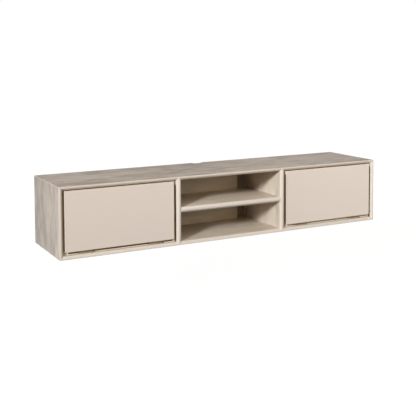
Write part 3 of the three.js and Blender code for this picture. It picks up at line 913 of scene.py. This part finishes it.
def ring_faces(rings, around):
    """Quads between successive closed rings of points, numbered ring by ring."""
    ring = np.arange(rings - 1)[:, None] * around
    here = np.arange(around)[None, :]
    following = (here + 1) % around
    corners = (ring + here, ring + following, ring + following + around, ring + here + around)
    return np.stack(corners, axis=-1).reshape(-1, QUAD)


print("quads between two rings of four", ring_faces(2, QUAD).tolist())

# %% Meshes from rings


def shade_edges(mesh):
    """Smooth shading, with a crease wherever two faces meet at more than the edge angle."""
    mesh.shade_smooth()
    mesh.set_sharp_from_angle(angle=EDGE_ANGLE)
    return mesh


def closed_mesh(name, rings):
    """A mesh from an array of rings x points x 3, its first and last ring closed by flat faces."""
    count, around = rings.shape[:2]
    sides = ring_faces(count, around).tolist()
    first = list(range(around))[::-1]
    last = list(range((count - 1) * around, count * around))
    mesh = bpy.data.meshes.new(name)
    mesh.from_pydata(rings.reshape(-1, 3).tolist(), [], sides + [first, last])
    return shade_edges(mesh)


# %% [markdown]
# Door fronts. Each door is one slab with softly rounded edges and corners, sprayed all over. It
# could be a bevelled box, but as a surface it is simple: a profile, which is the section of the
# slab's rim, is carried round the door's outline, and the two open ends are closed by flat faces.

# %% Rounded outline
QUARTER_TURN = math.pi / 2
ARC_STEPS = 6
CORNERS = 4


def rounded_outline(width, height, radius, steps):
    """A rounded rectangle about the origin and its outward normals, anticlockwise.

    Each corner is an arc: its centre plus radius times the normal (cos t, sin t), where t runs
    over a quarter turn that starts at the corner's number times a quarter turn.
    """
    start = np.arange(CORNERS) * QUARTER_TURN
    turn = start[:, None] + np.linspace(0, QUARTER_TURN, steps + 1)[None, :]
    normal = np.stack((np.cos(turn), np.sin(turn)), axis=-1)
    diagonal = start + QUARTER_TURN / 2
    sign = np.stack((np.sign(np.cos(diagonal)), np.sign(np.sin(diagonal))), axis=-1)
    centre = sign * np.array((width / 2 - radius, height / 2 - radius))
    points = centre[:, None, :] + radius * normal
    return points.reshape(-1, 2), normal.reshape(-1, 2)


print("points in an outline", CORNERS * (ARC_STEPS + 1))

# %% Door fronts
DOOR_CORNER = 2.6 * MM
DOOR_ARRIS = 2.0 * MM
DOOR_BORDER = 0.4 * MM


def door_slab(name, low, high):
    """A slab between two corners: point(u, v) = outline(u) - normal(u) * inset(v), at depth(v)."""
    turn = np.linspace(0, QUARTER_TURN, ARC_STEPS + 1)
    arc_inset = DOOR_ARRIS * (1 - np.sin(turn))
    arc_depth = DOOR_ARRIS * (1 - np.cos(turn))
    border = DOOR_ARRIS + DOOR_BORDER
    inset = np.concatenate(([border], arc_inset, arc_inset[::-1], [border]))
    front_half = low[Y] + arc_depth
    back_half = high[Y] - arc_depth[::-1]
    depth = np.concatenate(([low[Y]], front_half, back_half, [high[Y]]))
    outline, normal = rounded_outline(high[X] - low[X], high[Z] - low[Z], DOOR_CORNER, ARC_STEPS)
    flat = outline[None, :, :] - normal[None, :, :] * inset[:, None, None]
    rings = np.empty((len(inset), len(outline), 3))
    rings[:, :, X] = (low[X] + high[X]) / 2 + flat[:, :, 0]
    rings[:, :, Y] = depth[:, None]
    rings[:, :, Z] = (low[Z] + high[Z]) / 2 + flat[:, :, 1]
    return closed_mesh(name, rings)


for side in SIDES:
    door_mesh = door_slab(f"door_front_{side}", *door_box(side))
    add_piece(door_mesh, lacquer, f"door_{side}", "lacquer", f"door_panel_{side}")
    print(side, "door front", len(door_mesh.polygons), "faces")

# %% [markdown]
# Screw heads. The fittings are held by countersunk screws with a cross recess, which show when a
# door is open or from behind. A head could be cut from a cone, but as a surface it is one height
# over a polar grid: flat, sunk where a point lies in one of the cross's two bars, and falling at
# the rim. A whole group of heads is one mesh. Each is turned a little, as no two screws stop alike.

# %% One screw head
HEAD_SPOKES = 16
HEAD_RING_SHARES = np.array([0.19, 0.36, 0.62, 0.74, 0.94, 1.0, 1.0])
RIM_RING = 5
SKIRT_RING = 6
HEAD_PROUD = 0.15 * MM
RIM_FALL = 0.12 * MM
SKIRT_DEPTH = 0.4 * MM
BAR_WIDTH_SHARE = 0.17
BAR_REACH_SHARE = 0.70
RECESS_SHARE = 0.30


def head_surface(radius):
    """One head about +Z as rings x spokes x 3: point(r, t) = (r cos t, r sin t, height(r, t))."""
    turn = np.arange(HEAD_SPOKES) * math.tau / HEAD_SPOKES
    ring = HEAD_RING_SHARES[:, None] * radius
    across = ring * np.cos(turn)
    along = ring * np.sin(turn)
    narrow = np.minimum(abs(across), abs(along)) < BAR_WIDTH_SHARE * radius
    short = np.maximum(abs(across), abs(along)) < BAR_REACH_SHARE * radius
    height = np.where(narrow & short, HEAD_PROUD - RECESS_SHARE * radius, HEAD_PROUD)
    height[RIM_RING] -= RIM_FALL
    height[SKIRT_RING] -= SKIRT_DEPTH + HEAD_PROUD
    return np.stack((across, along, height), axis=-1)


print("a head has", len(HEAD_RING_SHARES), "rings of", HEAD_SPOKES, "points")

# %% A group of heads
SCREW_SEED = 7
screw_turns = np.random.default_rng(SCREW_SEED)


def turned_heads(head, spin):
    """The head once for each angle in spin: (a cos s - b sin s, a sin s + b cos s, height)."""
    cosine = np.cos(spin)[:, None, None]
    sine = np.sin(spin)[:, None, None]
    across = head[..., 0] * cosine - head[..., 1] * sine
    along = head[..., 0] * sine + head[..., 1] * cosine
    height = np.broadcast_to(head[..., 2], across.shape)
    return np.stack((across, along, height), axis=-1)


def add_screws(name, body, facing, radius, centres):
    """One mesh of heads that all face one way: centre + basis times the head, turned at random."""
    centres = np.array(centres)
    head = head_surface(radius)
    spin = screw_turns.uniform(0, math.pi, len(centres))
    basis = np.array(Vector(facing).to_track_quat("Z", "Y").to_matrix())
    points = turned_heads(head, spin) @ basis.T + centres[:, None, None, :]
    rings, around = head.shape[:2]
    start = np.arange(len(centres))[:, None] * rings * around
    sides = ring_faces(rings, around)[None] + start[:, :, None]
    recess = np.arange(around)[::-1][None] + start
    underside = np.arange(around)[None] + start + (rings - 1) * around
    parts = (sides.reshape(-1, QUAD), recess, underside)
    faces = [face for part in parts for face in part[:, ::-1].tolist()]
    mesh = bpy.data.meshes.new(name)
    mesh.from_pydata(points.reshape(-1, 3).tolist(), [], faces)
    add_piece(shade_edges(mesh), SLOT_FINISH["zinc"], body, "zinc")
    return len(centres)


# %% [markdown]
# Where the screws sit. Their places aren't typed as coordinates. Each fitting's box is measured on
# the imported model, and its screws stand at a pitch or a reach from the box's middle, as on a
# maker's drawing, so they stay on their fitting whatever its place.

# %% Screw sizes
LEAF = 2 * MM
BASE_SCREW = {"radius": 3.2 * MM, "pitch": 20 * MM, "from_back": 11.5 * MM}
FLAP_SCREW = {"radius": 2.6 * MM, "pitch": 25 * MM, "from_back": 3.3 * MM}
STAY_SCREW = {"radius": 3.5 * MM, "reach": 15 * MM, "plate": 3 * MM}
FOOT_SCREW = {"radius": 3.0 * MM, "reach": 14 * MM, "plate": 3 * MM, "from_end": 11.7 * MM}
LATCH_SCREW = {"radius": 2.6 * MM, "reach": 13.5 * MM, "flange": 2.5 * MM}
STRIKE_SCREW = {"radius": 2.0 * MM, "reach": 8.5 * MM}
HANGER_SCREW = {"radius": 4.0 * MM, "reach": 12 * MM}
screw_radii = (HANGER_SCREW["radius"], BASE_SCREW["radius"])
print("radii of a hanger's and a hinge's screws", in_mm(screw_radii), "mm")

# %% Places on the hinges and hangers
ENDS = ("outer", "inner")


def middle(low, high, axis):
    """The place halfway between two corners along that axis."""
    return (low[axis] + high[axis]) / 2


def beside(centre, reach):
    """The two places at that reach to either side of the centre."""
    return (centre - reach, centre + reach)


def hinge_row(side, end, pitch):
    """Three places along X about the middle of the hinge's base leaf, the middle one last."""
    low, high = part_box(f"hinge_base_{side}_{end}")
    centre = middle(low, high, X)
    return (*beside(centre, pitch), centre)


def hinge_base_places(side):
    """On top of each hinge's base leaf."""
    places = []
    for end in ENDS:
        low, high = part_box(f"hinge_base_{side}_{end}")
        row = hinge_row(side, end, BASE_SCREW["pitch"])
        places += [(x, high[Y] - BASE_SCREW["from_back"], low[Z] + LEAF) for x in row]
    return places


def hinge_flap_places(side):
    """Under each hinge's flap leaf, which lies below the door's foot."""
    places = []
    for end in ENDS:
        low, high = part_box(f"hinge_flap_{side}_{end}")
        row = hinge_row(side, end, FLAP_SCREW["pitch"])
        places += [(x, high[Y] - FLAP_SCREW["from_back"], high[Z] - LEAF) for x in row]
    return places


def hanger_places(side):
    """On the front of each hanger, one above the other."""
    places = []
    for end in ENDS:
        low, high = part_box(f"hanger_body_{side}_{end}")
        column = beside(middle(low, high, Z), HANGER_SCREW["reach"])
        places += [(middle(low, high, X), low[Y], z) for z in column]
    return places


print("right hangers' first screw at", in_mm(hanger_places("right")[0]), "mm")

# %% Places on the stays, latches and strike plates


def stay_places(side):
    """On the stay's bracket, whose plate lies on the side panel."""
    low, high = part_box(f"stay_bracket_{side}")
    plate_face = SIDES[side] * (max(abs(low[X]), abs(high[X])) - STAY_SCREW["plate"])
    row = beside(middle(low, high, Y), STAY_SCREW["reach"])
    return [(plate_face, y, middle(low, high, Z)) for y in row]


def stay_foot_places(side):
    """On the stay's bracket on the door, whose plate lies on the door's back."""
    low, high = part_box(f"stay_door_bracket_{side}")
    foot_x = SIDES[side] * (min(abs(low[X]), abs(high[X])) + FOOT_SCREW["from_end"])
    column = beside(middle(low, high, Z), FOOT_SCREW["reach"])
    return [(foot_x, low[Y] + FOOT_SCREW["plate"], z) for z in column]


def latch_places(side):
    """Under the flange of the latch's housing, one on either side of it."""
    low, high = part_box(f"latch_housing_{side}")
    row = beside(middle(low, high, X), LATCH_SCREW["reach"])
    return [(x, middle(low, high, Y), high[Z] - LATCH_SCREW["flange"]) for x in row]


def strike_places(side):
    """On the strike plate, which lies on the door's back."""
    low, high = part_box(f"strike_plate_{side}")
    row = beside(middle(low, high, X), STRIKE_SCREW["reach"])
    return [(x, high[Y], middle(low, high, Z)) for x in row]


print("right stay's first screw at", in_mm(stay_places("right")[0]), "mm")

# %% [markdown]
# The groups of screws. What is screwed to the boards rides on the carcass, and what is screwed to
# a door rides on that door, so that its heads swing with it. A group faces away from its board.

# %% Screws
UPWARDS = (0, 0, 1)
DOWNWARDS = (0, 0, -1)
FORWARDS = (0, -1, 0)
REARWARDS = (0, 1, 0)

screw_count = 0
for side, sign in SIDES.items():
    door_body = f"door_{side}"
    inwards = (-sign, 0, 0)
    groups = (
        ("hinge_base", "carcass", UPWARDS, BASE_SCREW, hinge_base_places(side)),
        ("hinge_flap", door_body, DOWNWARDS, FLAP_SCREW, hinge_flap_places(side)),
        ("hanger", "carcass", FORWARDS, HANGER_SCREW, hanger_places(side)),
        ("stay", "carcass", inwards, STAY_SCREW, stay_places(side)),
        ("stay_foot", door_body, REARWARDS, FOOT_SCREW, stay_foot_places(side)),
        ("latch", "carcass", DOWNWARDS, LATCH_SCREW, latch_places(side)),
        ("strike", door_body, REARWARDS, STRIKE_SCREW, strike_places(side)),
    )
    for fitting, body, facing, screw, places in groups:
        screw_count += add_screws(f"{fitting}_screws_{side}", body, facing, screw["radius"], places)
print("screws", screw_count)

# %% [markdown]
# Gland caps. A gas or friction stay's barrel ends in a dark moulded cap that seals the rod. It is
# turned, so it is a surface of revolution: a closed profile of radius and place along the stay's
# axis, carried round the axis. The axis runs from the stay's pivot to the stud on the door.

# %% Cap's profile
CAP_START = 158.5 * MM
CAP_END = 165.5 * MM
CAP_BORE = 4.35 * MM
CAP_NOSE = 7.6 * MM
CAP_SHOULDER = 9.0 * MM
CAP_SHOULDER_DROP = 0.6 * MM
CAP_RADIUS = 9.6 * MM
CAP_RADIUS_DROP = 1.9 * MM
CAP_CHAMFER = 0.4 * MM
CAP_PROFILE = np.array([
    (CAP_BORE, CAP_START),
    (CAP_BORE, CAP_END),
    (CAP_NOSE, CAP_END),
    (CAP_SHOULDER, CAP_END - CAP_SHOULDER_DROP),
    (CAP_RADIUS, CAP_END - CAP_RADIUS_DROP),
    (CAP_RADIUS, CAP_START + CAP_CHAMFER),
    (CAP_RADIUS - CAP_CHAMFER, CAP_START),
])
print("cap's radius and length", in_mm((CAP_RADIUS, CAP_END - CAP_START)), "mm")

# %% Gland caps
CAP_SPOKES = 32


def turned_ring(name, profile, origin, axis, spokes):
    """A closed ring: point(k, t) = origin + axis * place(k) + radius(k) * (side cos t + up sin t)."""
    axis = Vector(axis).normalized()
    up = Vector((1, 0, 0))
    side = up.cross(axis)
    turn = np.arange(spokes) * math.tau / spokes
    outwards = np.cos(turn)[:, None] * np.array(side) + np.sin(turn)[:, None] * np.array(up)
    closed = np.concatenate((profile, profile[:1]))
    radius = closed[:, 0, None, None]
    place = closed[:, 1, None, None]
    rings = np.array(origin) + place * np.array(axis) + radius * outwards
    mesh = bpy.data.meshes.new(name)
    mesh.from_pydata(rings.reshape(-1, 3).tolist(), [], ring_faces(len(closed), spokes).tolist())
    work = bmesh.new()
    work.from_mesh(mesh)
    bmesh.ops.remove_doubles(work, verts=work.verts, dist=WELD)
    bmesh.ops.recalc_face_normals(work, faces=work.faces)
    work.to_mesh(mesh)
    work.free()
    return shade_edges(mesh)


joints = {joint["name"]: joint for joint in frame["record"]["behaviour"]["joints"]}
for side in SIDES:
    pivot = joints[f"{side}_stay_swing"]["pos_m"]
    axis = joints[f"{side}_stay_slide"]["axis"]
    cap_mesh = turned_ring(f"gland_cap_{side}", CAP_PROFILE, pivot, axis, CAP_SPOKES)
    add_piece(cap_mesh, SLOT_FINISH["black_plastic"], f"stay_barrel_{side}", "black_plastic")
print("gland caps", len(SIDES))

# %% [markdown]
# The dressed console's box is printed, as the bare frame's was at the start.

# %% Sizes and end
dressed_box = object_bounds()
print("dressed box", [in_mm(corner) for corner in dressed_box])
